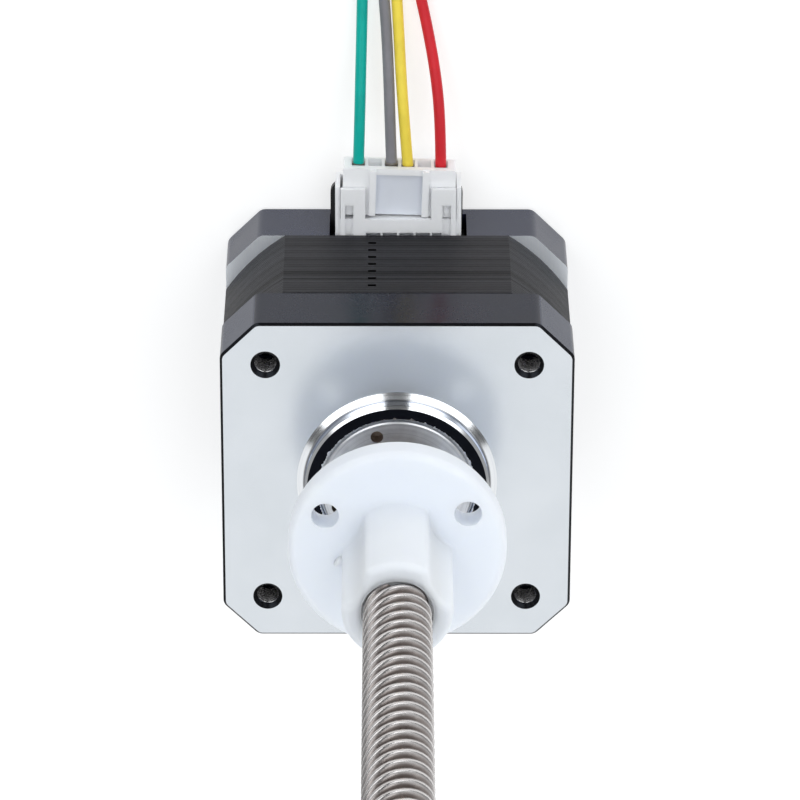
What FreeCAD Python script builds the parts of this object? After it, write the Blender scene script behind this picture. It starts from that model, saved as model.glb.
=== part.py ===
import FreeCAD, Part
import math
import os
import Sketcher
from FreeCAD import Vector, Placement, Rotation

# External linear stepper motor: a 42 mm square hybrid motor whose shaft is a
# four-start lead screw, with a flanged plastic nut and a plug-in lead set.
# Frame: origin on the screw axis in the mounting face, +Z along the screw away
# from the motor, +Y towards the side that carries the connector.  The motor
# stands on its rear face at z = -33.

doc = FreeCAD.newDocument("external_linear_stepper")

# ---------------------------------------------------------------- driving sheet
sheet = doc.addObject("Spreadsheet::Sheet", "Params")
CELLS = [
    # square frame
    ("frame_width", 41.7), ("frame_chamfer", 4.2), ("corner_round", 1.3),
    ("front_cap_len", 8.5), ("stack_len", 16.2), ("rear_cap_len", 8.3),
    ("edge_break", 0.3), ("joint_break", 0.16), ("cavity_radius", 18.8), ("cavity_roof", 4.2),
    ("hole_spacing", 31.0), ("hole_radius", 1.3), ("hole_mouth", 0.45),
    ("hole_depth", 4.5), ("clamp_hole_radius", 1.05),
    # pilot boss and lock ring
    ("boss_radius", 11.0), ("boss_height", 2.0), ("boss_chamfer", 0.34),
    ("boss_foot_radius", 11.9), ("boss_foot_height", 0.3),
    ("boss_bore", 9.35), ("ring_face_radius", 8.95), ("ring_thread_radius", 9.3),
    ("ring_bore", 4.6), ("pin_hole_circle", 7.4), ("pin_hole_radius", 0.75),
    # ball bearings 5 x 16 x 5
    ("bearing_bore", 2.5), ("bearing_outer", 7.99), ("bearing_width", 5.0),
    ("bearing_seat", 8.0), ("ball_circle", 5.25), ("ball_radius", 1.45),
    ("race_radius", 1.55), ("race_outer", 6.25), ("race_inner", 4.1),
    ("front_bearing_top", -1.0), ("rear_bearing_top", -26.6),
    # stator
    ("stack_half", 20.88), ("stack_corner_radius", 24.9), ("stator_bore", 13.0),
    ("tooth_valley", 13.7), ("shoe_back", 15.0), ("slot_floor", 18.0),
    ("neck_half", 2.0), ("screw_clear", 1.65), ("lamination", 0.5),
    ("notch_width", 0.95), ("notch_depth", 0.4), ("notch_offset", -3.0),
    # windings and formers
    ("coil_inner", 15.2), ("coil_thick", 2.0), ("coil_half", 4.8),
    ("coil_neck_half", 2.45), ("coil_end", 2.23), ("former_plate", 0.6),
    ("former_ring_in", 17.95), ("former_ring_out", 18.65),
    # rotor
    ("rotor_radius", 12.8), ("rotor_valley", 12.05), ("rotor_front", -9.1),
    ("cup_len", 6.5), ("magnet_len", 2.0), ("magnet_radius", 11.5),
    # lead screw
    ("screw_crest", 3.95), ("screw_root", 3.05), ("screw_lead", 8.0),
    ("screw_starts", 4.0), ("thread_turn", 24.75), ("sleeve_radius", 4.36), ("thread_start", 4.0), ("screw_tip", 100.0),
    ("shoulder_radius", 3.7), ("neck_radius", 2.9), ("shaft_end", -31.9),
    # nut
    ("nut_back", 14.0), ("nut_len", 18.0), ("flange_radius", 12.7),
    ("flange_thick", 3.3), ("flange_round", 0.9), ("hub_radius", 6.35),
    ("nut_hole_circle", 9.525), ("nut_hole_radius", 1.6), ("lobe_cut", 4.6),
    ("thread_clear", 0.16), ("nut_turn", 1.0), ("hub_corner", 1.15), ("hub_end_round", 0.9), ("hub_foot", 0.5),
    # connector
    ("conn_x", 0.15), ("pitch", 2.0), ("header_half", 7.65), ("header_base", 18.95),
    ("header_top", 26.95), ("well_floor", 22.8), ("header_front", -24.75), ("header_back", -30.0),
    ("pin_z", -27.4), ("pin_half", 0.25), ("pin_tip", 26.4),
    ("plug_half", 6.83), ("plug_bottom", 23.1), ("plug_end", 29.25),
    ("plug_front", -25.55), ("plug_back", -29.25), ("plug_tilt", -1.6),
    # leads
    ("lead_dia", 1.35), ("lead_len", 300.0), ("tin_len", 5.0),
    ("coil_x", 14.5), ("coil_y", 72.5), ("coil_z", -31.97), ("coil_rise", 1.5),
    ("coil_in", 13.65), ("coil_out", 19.4), ("coil_bottom", -32.65), ("coil_top", -27.6),
]
for row, (alias, value) in enumerate(CELLS, start=1):
    sheet.set("A%d" % row, alias)
    sheet.set("B%d" % row, repr(value))
    sheet.setAlias("B%d" % row, alias)
doc.recompute()


class Dim:
    """A length with its number and the sheet expression that drives it."""

    def __init__(self, value, text):
        self.v = float(value)
        self.e = text

    def __add__(self, o):
        o = dim(o)
        return Dim(self.v + o.v, "(%s + %s)" % (self.e, o.e))

    def __sub__(self, o):
        o = dim(o)
        return Dim(self.v - o.v, "(%s - %s)" % (self.e, o.e))

    def __rsub__(self, o):
        return dim(o) - self

    def __mul__(self, o):
        o = dim(o)
        return Dim(self.v * o.v, "(%s * %s)" % (self.e, o.e))

    def __neg__(self):
        return Dim(-self.v, "(0 - %s)" % self.e)

    __radd__ = __add__
    __rmul__ = __mul__


def dim(x):
    if isinstance(x, Dim):
        return x
    return Dim(x, "%.6f" % x if x >= 0 else "(0 - %.6f)" % -x)


def S(alias):
    return Dim(sheet.get(alias), "Params." + alias)


def num(alias):
    return float(sheet.get(alias))


# -------------------------------------------------------------- feature helpers
EXPORT = []


def new_body(label):
    b = doc.addObject("PartDesign::Body", label)
    b.Label = label
    EXPORT.append(b)
    return b


def origin_plane(b, role):
    for f in b.Origin.OriginFeatures:
        if f.Role == role:
            return f
    raise RuntimeError("no plane " + role)


def new_sketch(b, name, role="XY_Plane", height=None):
    s = b.newObject("Sketcher::SketchObject", name)
    s.AttachmentSupport = [(origin_plane(b, role), "")]
    s.MapMode = "FlatFace"
    if height is not None:
        s.setExpression("AttachmentOffset.Base.z", dim(height).e)
    return s


def pin_point(s, geo, pos, x, y):
    """Hold one point of a sketch at coordinates that the sheet drives."""
    for value, kind, axis in ((dim(x), "DistanceX", -2), (dim(y), "DistanceY", -1)):
        if abs(value.v) < 1e-9:
            s.addConstraint(Sketcher.Constraint("PointOnObject", geo, pos, axis))
        else:
            k = s.addConstraint(Sketcher.Constraint(kind, -1, 1, geo, pos, value.v))
            if "Params" in value.e:
                s.setExpression("Constraints[%d]" % k, value.e)


def closed_lines(s, pts):
    """Closed polygon whose corners are all dimensioned from the origin."""
    pts = [(dim(x), dim(y)) for x, y in pts]
    n = len(pts)
    ids = []
    for i in range(n):
        a, b = pts[i], pts[(i + 1) % n]
        ids.append(s.addGeometry(Part.LineSegment(Vector(a[0].v, a[1].v, 0), Vector(b[0].v, b[1].v, 0)), False))
    for i in range(n):
        s.addConstraint(Sketcher.Constraint("Coincident", ids[i], 2, ids[(i + 1) % n], 1))
    for i in range(n):
        pin_point(s, ids[i], 1, pts[i][0], pts[i][1])
    return ids


def box_lines(s, x0, x1, y0, y1):
    return closed_lines(s, [(x0, y0), (x1, y0), (x1, y1), (x0, y1)])


def circle(s, x, y, r):
    x, y, r = dim(x), dim(y), dim(r)
    g = s.addGeometry(Part.Circle(Vector(x.v, y.v, 0), Vector(0, 0, 1), r.v), False)
    k = s.addConstraint(Sketcher.Constraint("Radius", g, r.v))
    if "Params" in r.e:
        s.setExpression("Constraints[%d]" % k, r.e)
    pin_point(s, g, 3, x, y)
    return g


def free_lines(s, pts):
    """Closed polygon with many computed corners, such as a ring of teeth."""
    n = len(pts)
    s.addGeometry([Part.LineSegment(Vector(pts[i][0], pts[i][1], 0),
                                    Vector(pts[(i + 1) % n][0], pts[(i + 1) % n][1], 0)) for i in range(n)], False)


def pad(b, name, s, length):
    f = b.newObject("PartDesign::Pad", name)
    f.Profile = s
    f.Length = dim(length).v
    f.setExpression("Length", dim(length).e)
    b.Tip = f
    return f


def pocket(b, name, s, length, flip=False):
    doc.recompute()
    before = b.Shape.Volume
    f = b.newObject("PartDesign::Pocket", name)
    f.Profile = s
    f.Length = dim(length).v
    f.setExpression("Length", dim(length).e)
    f.Reversed = flip
    b.Tip = f
    doc.recompute()
    if not b.Shape.Volume < before - 1e-6:
        raise RuntimeError("pocket %s of %s cuts nothing" % (name, b.Label))
    return f


def turned(b, name, pts):
    """Solid of revolution about Z from (radius, height) corners."""
    s = new_sketch(b, name + "_profile", "XZ_Plane")
    closed_lines(s, pts)
    f = b.newObject("PartDesign::Revolution", name)
    f.Profile = s
    f.ReferenceAxis = (s, ["V_Axis"])
    f.Angle = 360
    b.Tip = f
    return f


def turned_cut(b, name, pts=None, round_at=None):
    doc.recompute()
    before = b.Shape.Volume
    s = new_sketch(b, name + "_profile", "XZ_Plane")
    if pts is not None:
        closed_lines(s, pts)
    else:
        circle(s, *round_at)
    f = b.newObject("PartDesign::Groove", name)
    f.Profile = s
    f.ReferenceAxis = (s, ["V_Axis"])
    f.Angle = 360
    b.Tip = f
    doc.recompute()
    if not b.Shape.Volume < before - 1e-6:
        raise RuntimeError("groove %s of %s cuts nothing" % (name, b.Label))
    return f


def dressed(b, kind, name, size, test):
    """Fillet or chamfer every edge of the body that passes the test."""
    doc.recompute()
    base = b.Tip
    names = ["Edge%d" % (i + 1) for i, e in enumerate(base.Shape.Edges) if test(e)]
    if not names:
        raise RuntimeError("no edges for %s of %s" % (name, b.Label))
    f = b.newObject("PartDesign::" + kind, name)
    f.Base = (base, names)
    if kind == "Fillet":
        f.Radius = dim(size).v
        f.setExpression("Radius", dim(size).e)
    else:
        f.Size = dim(size).v
        f.setExpression("Size", dim(size).e)
    b.Tip = f
    doc.recompute()
    return f


def upright(e, rmin):
    """A straight edge along Z further than rmin from the axis."""
    if len(e.Vertexes) != 2:
        return False
    a, c = e.Vertexes[0].Point, e.Vertexes[1].Point
    return abs(a.x - c.x) < 1e-6 and abs(a.y - c.y) < 1e-6 and math.hypot(a.x, a.y) > rmin


def flat_at(e, z, rmin=0.0):
    """An edge that lies in the plane at height z, outside rmin."""
    return all(abs(v.Point.z - z) < 1e-6 and math.hypot(v.Point.x, v.Point.y) > rmin for v in e.Vertexes)


def feature(label, shape, place=None):
    f = doc.addObject("Part::Feature", label)
    f.Label = label
    f.Shape = shape
    if place is not None:
        f.Placement = place
    EXPORT.append(f)
    return f


def octagon(half, cut):
    return [(half, -(half - cut)), (half, half - cut), (half - cut, half), (-(half - cut), half),
            (-half, half - cut), (-half, -(half - cut)), (-(half - cut), -half), (half - cut, -half)]


def polar(r, deg):
    return (r * math.cos(math.radians(deg)), r * math.sin(math.radians(deg)))


half_w = S("frame_width") * 0.5
z_stack_front = -S("front_cap_len")
z_stack_rear = -(S("front_cap_len") + S("stack_len"))
z_rear = -(S("front_cap_len") + S("stack_len") + S("rear_cap_len"))
hole_xy = S("hole_spacing") * 0.5
CORNERS = [(1, 1), (-1, 1), (-1, -1), (1, -1)]

# ------------------------------------------------------------------- end caps
# Front cap: square casting with the pilot boss, a bearing seat in a hub and a
# hollow back that clears the end turns.
b = new_body("front_end_cap")
s = new_sketch(b, "front_outline", height=z_stack_front)
closed_lines(s, octagon(half_w, S("frame_chamfer")))
pad(b, "front_block", s, S("front_cap_len"))
dressed(b, "Fillet", "front_corners", S("corner_round"), lambda e: upright(e, 18.0))
dressed(b, "Chamfer", "front_edge_break", S("edge_break"), lambda e: flat_at(e, 0.0, 18.0))
dressed(b, "Chamfer", "front_joint_break", S("joint_break"), lambda e: flat_at(e, z_stack_front.v, 18.0))
turned(b, "pilot_boss", [
    (S("boss_bore"), -1.0), (S("boss_foot_radius"), -1.0), (S("boss_foot_radius"), 0.06),
    (S("boss_radius") + 0.12, S("boss_foot_height")), (S("boss_radius"), S("boss_foot_height") + 0.1),
    (S("boss_radius"), S("boss_height") - S("boss_chamfer")),
    (S("boss_radius") - S("boss_chamfer"), S("boss_height")), (S("boss_bore"), S("boss_height"))])
seat_end = S("front_bearing_top") - S("bearing_width")
turned_cut(b, "bearing_bore", [
    (0, S("boss_height") + 0.5), (S("boss_bore"), S("boss_height") + 0.5), (S("boss_bore"), S("front_bearing_top")),
    (S("bearing_seat"), S("front_bearing_top")), (S("bearing_seat"), seat_end), (6.9, seat_end),
    (6.9, z_stack_front - 0.5), (0, z_stack_front - 0.5)])
turned_cut(b, "end_turn_room", [
    (6.9, z_stack_front - 0.5), (6.9, seat_end - 0.8), (10.2, seat_end - 0.8), (10.2, -S("cavity_roof")),
    (S("cavity_radius"), -S("cavity_roof")), (S("cavity_radius"), z_stack_front - 0.5)])
s = new_sketch(b, "tapped_holes", height=0.0)
for i, j in CORNERS:
    circle(s, hole_xy * i, hole_xy * j, S("hole_radius"))
pocket(b, "mounting_holes", s, S("hole_depth"))
s = new_sketch(b, "clamp_screw_holes", height=0.0)
for i, j in CORNERS:
    circle(s, hole_xy * i, hole_xy * j, S("clamp_hole_radius"))
pocket(b, "clamp_holes", s, S("front_cap_len") + 0.5)
dressed(b, "Chamfer", "hole_mouths", S("hole_mouth"),
        lambda e: flat_at(e, 0.0, 18.0) and hasattr(e.Curve, "Radius") and abs(e.Curve.Radius - 1.3) < 1e-4)

# Rear cap: same outline, bearing pocket, screw counterbores and a notch in the
# +Y side for the connector.
b = new_body("rear_end_cap")
s = new_sketch(b, "rear_outline", height=z_rear)
closed_lines(s, octagon(half_w, S("frame_chamfer")))
pad(b, "rear_block", s, S("rear_cap_len"))
dressed(b, "Fillet", "rear_corners", S("corner_round"), lambda e: upright(e, 18.0))
dressed(b, "Fillet", "rear_rim", 0.6, lambda e: flat_at(e, z_rear.v, 18.0))
turned_cut(b, "end_turn_room", [
    (0, z_stack_rear + 0.5), (S("cavity_radius"), z_stack_rear + 0.5), (S("cavity_radius"), z_rear + 2.8),
    (10.0, z_rear + 2.8), (10.0, S("rear_bearing_top") + 0.2), (0, S("rear_bearing_top") + 0.2)])
pocket_floor = S("rear_bearing_top") - S("bearing_width") - 0.6
turned_cut(b, "bearing_pocket", [
    (0, S("rear_bearing_top") + 0.5), (S("bearing_seat"), S("rear_bearing_top") + 0.5), (S("bearing_seat"), pocket_floor),
    (3.2, pocket_floor), (3.2, z_rear - 0.5), (0, z_rear - 0.5)])
s = new_sketch(b, "notch", height=z_stack_rear)
box_lines(s, S("conn_x") - 8.35, S("conn_x") + 8.35, 16.8, half_w + 1.0)
pocket(b, "connector_notch", s, 6.4)
s = new_sketch(b, "through_holes", height=z_stack_rear)
for i, j in CORNERS:
    circle(s, hole_xy * i, hole_xy * j, S("screw_clear"))
pocket(b, "screw_holes", s, S("rear_cap_len") + 0.5)
s = new_sketch(b, "counterbores", height=z_rear)
for i, j in CORNERS:
    circle(s, hole_xy * i, hole_xy * j, 2.9)
pocket(b, "screw_counterbores", s, 2.4, flip=True)

# --------------------------------------------------------------------- stator
# Lamination stack: eight poles of six teeth, square outline with round-cut
# corners, and one assembly notch per side on every fourth lamination.
def pole_ring():
    r_tip, r_val = num("stator_bore"), num("tooth_valley")
    r_back, r_slot, neck = num("shoe_back"), num("slot_floor"), num("neck_half")
    pts = []
    for k in range(8):
        c = 45.0 * k
        a_slot = math.degrees(math.asin(neck / r_slot))
        a_neck = math.degrees(math.asin(neck / r_back))
        pts += [polar(r_slot, c - 22.5), polar(r_slot, c - 15.0), polar(r_slot, c - a_slot), polar(r_back, c - a_neck),
                polar(r_back, c - 14.0), polar(r_back - 0.35, c - 19.55)]
        for t in range(6):
            m = c - 18.0 + 7.2 * t
            pts += [polar(r_tip, m - 1.55), polar(r_tip, m + 1.55)]
            if t < 5:
                pts += [polar(r_val, m + 1.9), polar(r_val, m + 5.3)]
        pts += [polar(r_back - 0.35, c + 19.55), polar(r_back, c + 14.0), polar(r_back, c + a_neck),
                polar(r_slot, c + a_slot), polar(r_slot, c + 15.0)]
    return pts


b = new_body("stator_core")
s = new_sketch(b, "lamination_outline", height=z_stack_rear)
sh, sr = num("stack_half"), num("stack_corner_radius")
flat_half = math.sqrt(sr * sr - sh * sh)
for k in range(4):
    rot = Rotation(Vector(0, 0, 1), 90 * k)
    s.addGeometry(Part.LineSegment(rot.multVec(Vector(sh, -flat_half, 0)), rot.multVec(Vector(sh, flat_half, 0))), False)
    s.addGeometry(Part.Arc(rot.multVec(Vector(sh, flat_half, 0)), rot.multVec(Vector(sr / math.sqrt(2), sr / math.sqrt(2), 0)),
                           rot.multVec(Vector(flat_half, sh, 0))), False)
free_lines(s, pole_ring())
pad(b, "lamination_stack", s, S("stack_len"))
s = new_sketch(b, "core_screw_holes", height=z_stack_front)
for i, j in CORNERS:
    circle(s, hole_xy * i, hole_xy * j, S("screw_clear"))
pocket(b, "core_holes", s, S("stack_len") + 0.5)
w = num("notch_width") * 0.5
for side in range(4):
    # the notch walks round the stack, one side per lamination
    s = new_sketch(b, "notch_row_%d" % side, height=z_stack_rear + 2.2 + S("lamination") * float(side) - 0.25)
    rot = Rotation(Vector(0, 0, 1), 90 * (side + 1))
    x_c, deep = num("notch_offset"), num("notch_depth")
    corners = [Vector(sh - deep, -x_c - w, 0), Vector(sh + 0.6, -x_c - w, 0), Vector(sh + 0.6, -x_c + w, 0), Vector(sh - deep, -x_c + w, 0)]
    free_lines(s, [(rot.multVec(c).x, rot.multVec(c).y) for c in corners])
    p = pocket(b, "notch_cut_%d" % side, s, S("lamination"), flip=True)
    pat = b.newObject("PartDesign::LinearPattern", "notch_steps_%d" % side)
    pat.Originals = [p]
    pat.Direction = (s, ["N_Axis"])
    pat.Length = 12.0
    pat.Occurrences = 7
    b.Tip = pat
    doc.recompute()


def former(label, z0, sign):
    """Winding former: a rim, eight neck plates and eight inner tabs."""
    body = new_body(label)
    z0 = dim(z0)
    def slab(name, height):
        base = z0 if sign > 0 else z0 - height
        return new_sketch(body, name, height=base)
    s = slab("rim", 2.2)
    circle(s, 0, 0, S("former_ring_out"))
    circle(s, 0, 0, S("former_ring_in"))
    pad(body, "former_rim", s, 2.2)
    s = slab("plate", S("former_plate"))
    box_lines(s, 13.6, 18.2, -2.3, 2.3)
    f1 = pad(body, "neck_plate", s, S("former_plate"))
    s = slab("tab", 2.6)
    box_lines(s, 14.2, 15.1, -3.0, 3.0)
    f2 = pad(body, "inner_tab", s, 2.6)
    pat = body.newObject("PartDesign::PolarPattern", "former_poles")
    pat.Originals = [f1, f2]
    pat.Axis = (s, ["N_Axis"])
    pat.Angle = 360
    pat.Occurrences = 8
    body.Tip = pat
    doc.recompute()
    return body


former("front_insulator", z_stack_front, 1)
former("rear_insulator", z_stack_rear, -1)
# terminal block that carries the header: a shelf over the rear former's rim
# and a back wall
b = new_body("terminal_block")
s = new_sketch(b, "shelf", height=-30.95)
box_lines(s, S("conn_x") - 8.15, S("conn_x") + 8.15, 18.0, 18.9)
pad(b, "terminal_shelf", s, 6.2)
s = new_sketch(b, "back_wall", height=-30.95)
box_lines(s, S("conn_x") - 8.27, S("conn_x") + 7.88, 18.0, 25.55)
pad(b, "terminal_wall", s, 0.9)
dressed(b, "Fillet", "wall_corners", 1.4,
        lambda e: upright(e, 20.0) and abs(e.Vertexes[0].Point.y - 25.55) < 1e-4)
s = new_sketch(b, "pin_slots", "XZ_Plane", height=-17.5)
for i in range(6):
    xc = S("conn_x") + S("pitch") * (i - 2.5)
    box_lines(s, xc - (S("pin_half") + 0.02), xc + (S("pin_half") + 0.02),
              S("pin_z") - (S("pin_half") + 0.02), S("pin_z") + (S("pin_half") + 0.02))
pocket(b, "pin_passages", s, 1.9)
s = new_sketch(b, "rim_seat", height=-24.75)
circle(s, 0, 0, S("former_ring_out") + 0.02)
pocket(b, "rim_relief", s, 2.2)


def winding():
    """One pole winding as a rounded rectangular ring about its neck."""
    x0, x1 = num("coil_inner"), num("coil_inner") + num("coil_thick")
    yo, yi = num("coil_half"), num("coil_neck_half")
    zi1 = z_stack_front.v + num("former_plate") + 0.02
    zi0 = z_stack_rear.v - num("former_plate") - 0.02
    zo1, zo0 = zi1 + num("coil_end"), zi0 - num("coil_end")
    outer = Part.makeBox(x1 - x0, 2 * yo, zo1 - zo0, Vector(x0, -yo, zo0))
    outer = outer.makeFillet(1.6, [e for e in outer.Edges if abs(e.Vertexes[0].Point.x - e.Vertexes[1].Point.x) > 1.0])
    inner = Part.makeBox(x1 - x0 + 2, 2 * yi, zi1 - zi0, Vector(x0 - 1, -yi, zi0))
    return outer.cut(inner)


one = winding()
for label, first in (("phase_a_coils", 0), ("phase_b_coils", 1)):
    ring = []
    for k in range(first, 8, 2):
        c = one.copy()
        c.rotate(Vector(0, 0, 0), Vector(0, 0, 1), 45.0 * k)
        ring.append(c)
    feature(label, Part.makeCompound(ring))

# ------------------------------------------------------------------- bearings
for name, top in (("front", S("front_bearing_top")), ("rear", S("rear_bearing_top"))):
    low = top - S("bearing_width")
    mid = top - S("bearing_width") * 0.5
    b = new_body(name + "_bearing_outer_ring")
    turned(b, "outer_blank", [
        (S("race_outer"), low), (S("bearing_outer") - 0.25, low), (S("bearing_outer"), low + 0.25),
        (S("bearing_outer"), top - 0.25), (S("bearing_outer") - 0.25, top), (S("race_outer"), top)])
    turned_cut(b, "outer_race", round_at=(S("ball_circle"), mid, S("race_radius")))
    b = new_body(name + "_bearing_inner_ring")
    turned(b, "inner_blank", [
        (S("bearing_bore"), low), (S("race_inner"), low), (S("race_inner"), top), (S("bearing_bore"), top)])
    turned_cut(b, "inner_race", round_at=(S("ball_circle"), mid, S("race_radius")))
    balls, pockets = [], []
    for k in range(7):
        x, y = polar(num("ball_circle"), 360.0 / 7 * k)
        balls.append(Part.makeSphere(num("ball_radius"), Vector(x, y, mid.v)))
        pockets.append(Part.makeSphere(num("ball_radius") + 0.1, Vector(x, y, mid.v)))
    feature(name + "_ball_set", Part.makeCompound(balls))
    cage = Part.makeCylinder(5.75, 1.1, Vector(0, 0, mid.v + 0.55)).cut(Part.makeCylinder(4.75, 1.1, Vector(0, 0, mid.v + 0.55)))
    feature(name + "_ball_cage", cage.cut(pockets))

shields = []
for top in (num("front_bearing_top"), num("rear_bearing_top")):
    for z in (top - 0.5, top - num("bearing_width") + 0.3):
        shields.append(Part.makeCylinder(6.24, 0.2, Vector(0, 0, z)).cut(Part.makeCylinder(4.35, 0.2, Vector(0, 0, z))))
feature("bearing_shields", Part.makeCompound(shields))

b = new_body("preload_washer")
washer_top = S("rear_bearing_top") - S("bearing_width")
turned(b, "spring_cone", [(7.8, pocket_floor), (7.8, pocket_floor + 0.25), (6.5, washer_top), (6.5, washer_top - 0.25)])

b = new_body("bearing_lock_ring")
turned(b, "lock_blank", [
    (S("ring_bore"), -0.6), (6.6, -0.6), (6.6, S("front_bearing_top")), (S("ring_thread_radius") - 0.2, S("front_bearing_top")),
    (S("ring_thread_radius"), S("front_bearing_top") + 0.2), (S("ring_thread_radius"), 0.9), (S("ring_face_radius"), 0.9),
    (S("ring_face_radius"), S("boss_height") - 0.16), (S("ring_face_radius") - 0.16, S("boss_height")),
    (S("ring_bore") + 0.3, S("boss_height")), (S("ring_bore"), S("boss_height") - 0.3)])
s = new_sketch(b, "spanner_holes", height=S("boss_height"))
for k in range(4):
    x, y = polar(num("pin_hole_circle"), 108.8 + 90 * k)
    circle(s, x, y, S("pin_hole_radius"))
pocket(b, "pin_holes", s, 1.7)

# ---------------------------------------------------------------------- rotor
def tooth_ring(shift):
    pts = []
    for k in range(50):
        m = 7.2 * k + shift
        pts += [polar(num("rotor_radius"), m - 1.5), polar(num("rotor_radius"), m + 1.5),
                polar(num("rotor_valley"), m + 1.9), polar(num("rotor_valley"), m + 5.3)]
    return pts


cup_rear_top = S("rotor_front") - S("cup_len") - S("magnet_len")
for label, low, shift in (("rotor_cup_front", S("rotor_front") - S("cup_len"), 0.0),
                          ("rotor_cup_rear", cup_rear_top - S("cup_len"), 3.6)):
    b = new_body(label)
    s = new_sketch(b, "teeth", height=low)
    free_lines(s, tooth_ring(shift))
    circle(s, 0, 0, S("bearing_bore"))
    pad(b, "cup", s, S("cup_len"))
b = new_body("rotor_magnet")
s = new_sketch(b, "magnet_ring", height=cup_rear_top)
circle(s, 0, 0, S("magnet_radius"))
circle(s, 0, 0, S("bearing_bore"))
pad(b, "magnet_disc", s, S("magnet_len"))

for label, top, low in (("front_spacer", S("front_bearing_top") - S("bearing_width"), S("rotor_front")),
                        ("rear_spacer", cup_rear_top - S("cup_len"), S("rear_bearing_top"))):
    b = new_body(label)
    s = new_sketch(b, "sleeve_ring", height=low)
    circle(s, 0, 0, 3.8)
    circle(s, 0, 0, S("bearing_bore"))
    pad(b, "sleeve", s, top - low)


# ----------------------------------------------------------------- lead screw
def thread_radius(phi, extra):
    """Radius of the rolled four-start form at one angle of a cross-section.

    A quarter turn of the section is one 2 mm pitch along the axis.  extra is
    the clearance that widens the same form for the nut.
    """
    starts, pitch = num("screw_starts"), num("screw_lead") / num("screw_starts")
    u = (phi / (2 * math.pi / starts)) % 1.0
    d = abs(u - 0.5) * pitch
    crest = num("screw_crest") + extra
    root = num("screw_root") + extra
    x = (d - 0.30 - extra * 0.95) / 0.46
    x = max(0.0, min(1.0, x))
    blend = x * x * (3 - 2 * x)
    flat = min(1.0, d / 0.3)
    return crest - 0.05 * flat * flat * (1 - blend) - (crest - root) * blend


def thread_solid(z0, z1, extra):
    """Cross-section twisted along Z, right-handed, turned thread_turn at z = 0."""
    n = 128
    turn = 360.0 * z0 / num("screw_lead") + num("thread_turn")
    pts = []
    for i in range(n):
        a = 2 * math.pi * i / n
        r = thread_radius(a, extra)
        pts.append(Vector(r * math.cos(a + math.radians(turn)), r * math.sin(a + math.radians(turn)), z0))
    curve = Part.BSplineCurve()
    curve.interpolate(pts, PeriodicFlag=True)
    spine = Part.Wire([Part.makeLine(Vector(0, 0, z0), Vector(0, 0, z1))])
    helix = Part.makeHelix(num("screw_lead"), z1 - z0, 10.0)
    helix.translate(Vector(0, 0, z0))
    sweep = Part.BRepOffsetAPI.MakePipeShell(spine)
    sweep.setAuxiliarySpine(Part.Wire(helix.Edges), True, 0)
    sweep.setTolerance(1e-3, 1e-3, 1e-3)
    sweep.add(Part.Wire([curve.toShape()]))
    sweep.build()
    sweep.makeSolid()
    return sweep.shape()


def revolved(pts):
    w = Part.makePolygon([Vector(r, 0, z) for r, z in pts + pts[:1]])
    return Part.Face(w).revolve(Vector(0, 0, 0), Vector(0, 0, 1), 360)


tip, z_thread = num("screw_tip"), num("thread_start")
threaded = thread_solid(z_thread, tip, 0.0)
envelope = revolved([(0, z_thread), (num("neck_radius"), z_thread), (num("screw_crest") + 0.3, z_thread + 1.35),
                     (num("screw_crest") + 0.3, tip - 1.3), (2.95, tip), (0, tip)])
threaded = threaded.common(envelope)
shaft = revolved([
    (0, num("shaft_end")), (num("bearing_bore") - 0.4, num("shaft_end")), (num("bearing_bore"), num("shaft_end") + 0.4),
    (num("bearing_bore"), num("front_bearing_top")), (num("shoulder_radius"), num("front_bearing_top")),
    (num("shoulder_radius"), 2.2), (num("neck_radius"), 2.8), (num("neck_radius"), z_thread), (0, z_thread)])
feature("lead_screw", shaft.fuse(threaded).removeSplitter())

# ------------------------------------------------------------------------ nut
# Flange with a rounded front rim and a three-lobed hub, whose lobes leave room
# for three bolt heads, round a sleeve with the matching internal thread.
b = new_body("flange_nut")
z_nut, z_flange = S("nut_back"), S("nut_back") + S("flange_thick")
turned(b, "flange_blank", [
    (0, z_nut), (S("flange_radius") - 0.3, z_nut), (S("flange_radius"), z_nut + 0.3), (S("flange_radius"), z_flange),
    (S("hub_radius"), z_flange), (S("hub_radius"), z_nut + S("nut_len")), (0, z_nut + S("nut_len"))])
dressed(b, "Fillet", "flange_rim", S("flange_round"), lambda e: flat_at(e, z_flange.v, 11.0))
s = new_sketch(b, "lobes", height=z_nut + S("nut_len"))
for k in range(3):
    x, y = polar(num("nut_hole_circle"), 30 + 120 * k + num("nut_turn"))
    circle(s, x, y, S("lobe_cut"))
pocket(b, "lobe_cuts", s, S("nut_len") - S("flange_thick"))
dressed(b, "Fillet", "lobe_corners", S("hub_corner"),
        lambda e: upright(e, 5.9) and math.hypot(e.Vertexes[0].Point.x, e.Vertexes[0].Point.y) < 6.6
        and max(v.Point.z for v in e.Vertexes) > 20)
s = new_sketch(b, "nut_holes", height=z_flange)
for k in range(3):
    x, y = polar(num("nut_hole_circle"), 30 + 120 * k + num("nut_turn"))
    circle(s, x, y, S("nut_hole_radius"))
pocket(b, "bolt_holes", s, S("flange_thick") + 0.5)
dressed(b, "Fillet", "hub_end", S("hub_end_round"),
        lambda e: flat_at(e, num("nut_back") + num("nut_len"), 3.0))
dressed(b, "Fillet", "hub_foot_round", S("hub_foot"),
        lambda e: flat_at(e, z_flange.v) and all(math.hypot(v.Point.x, v.Point.y) < 6.6 for v in e.Vertexes))
s = new_sketch(b, "sleeve_seat", height=z_nut + S("nut_len"))
circle(s, 0, 0, S("sleeve_radius"))
pocket(b, "sleeve_bore", s, S("nut_len") + 0.5)
nut_form = thread_solid(num("nut_back") - 1.0, num("nut_back") + num("nut_len") + 1.0, num("thread_clear"))
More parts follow.
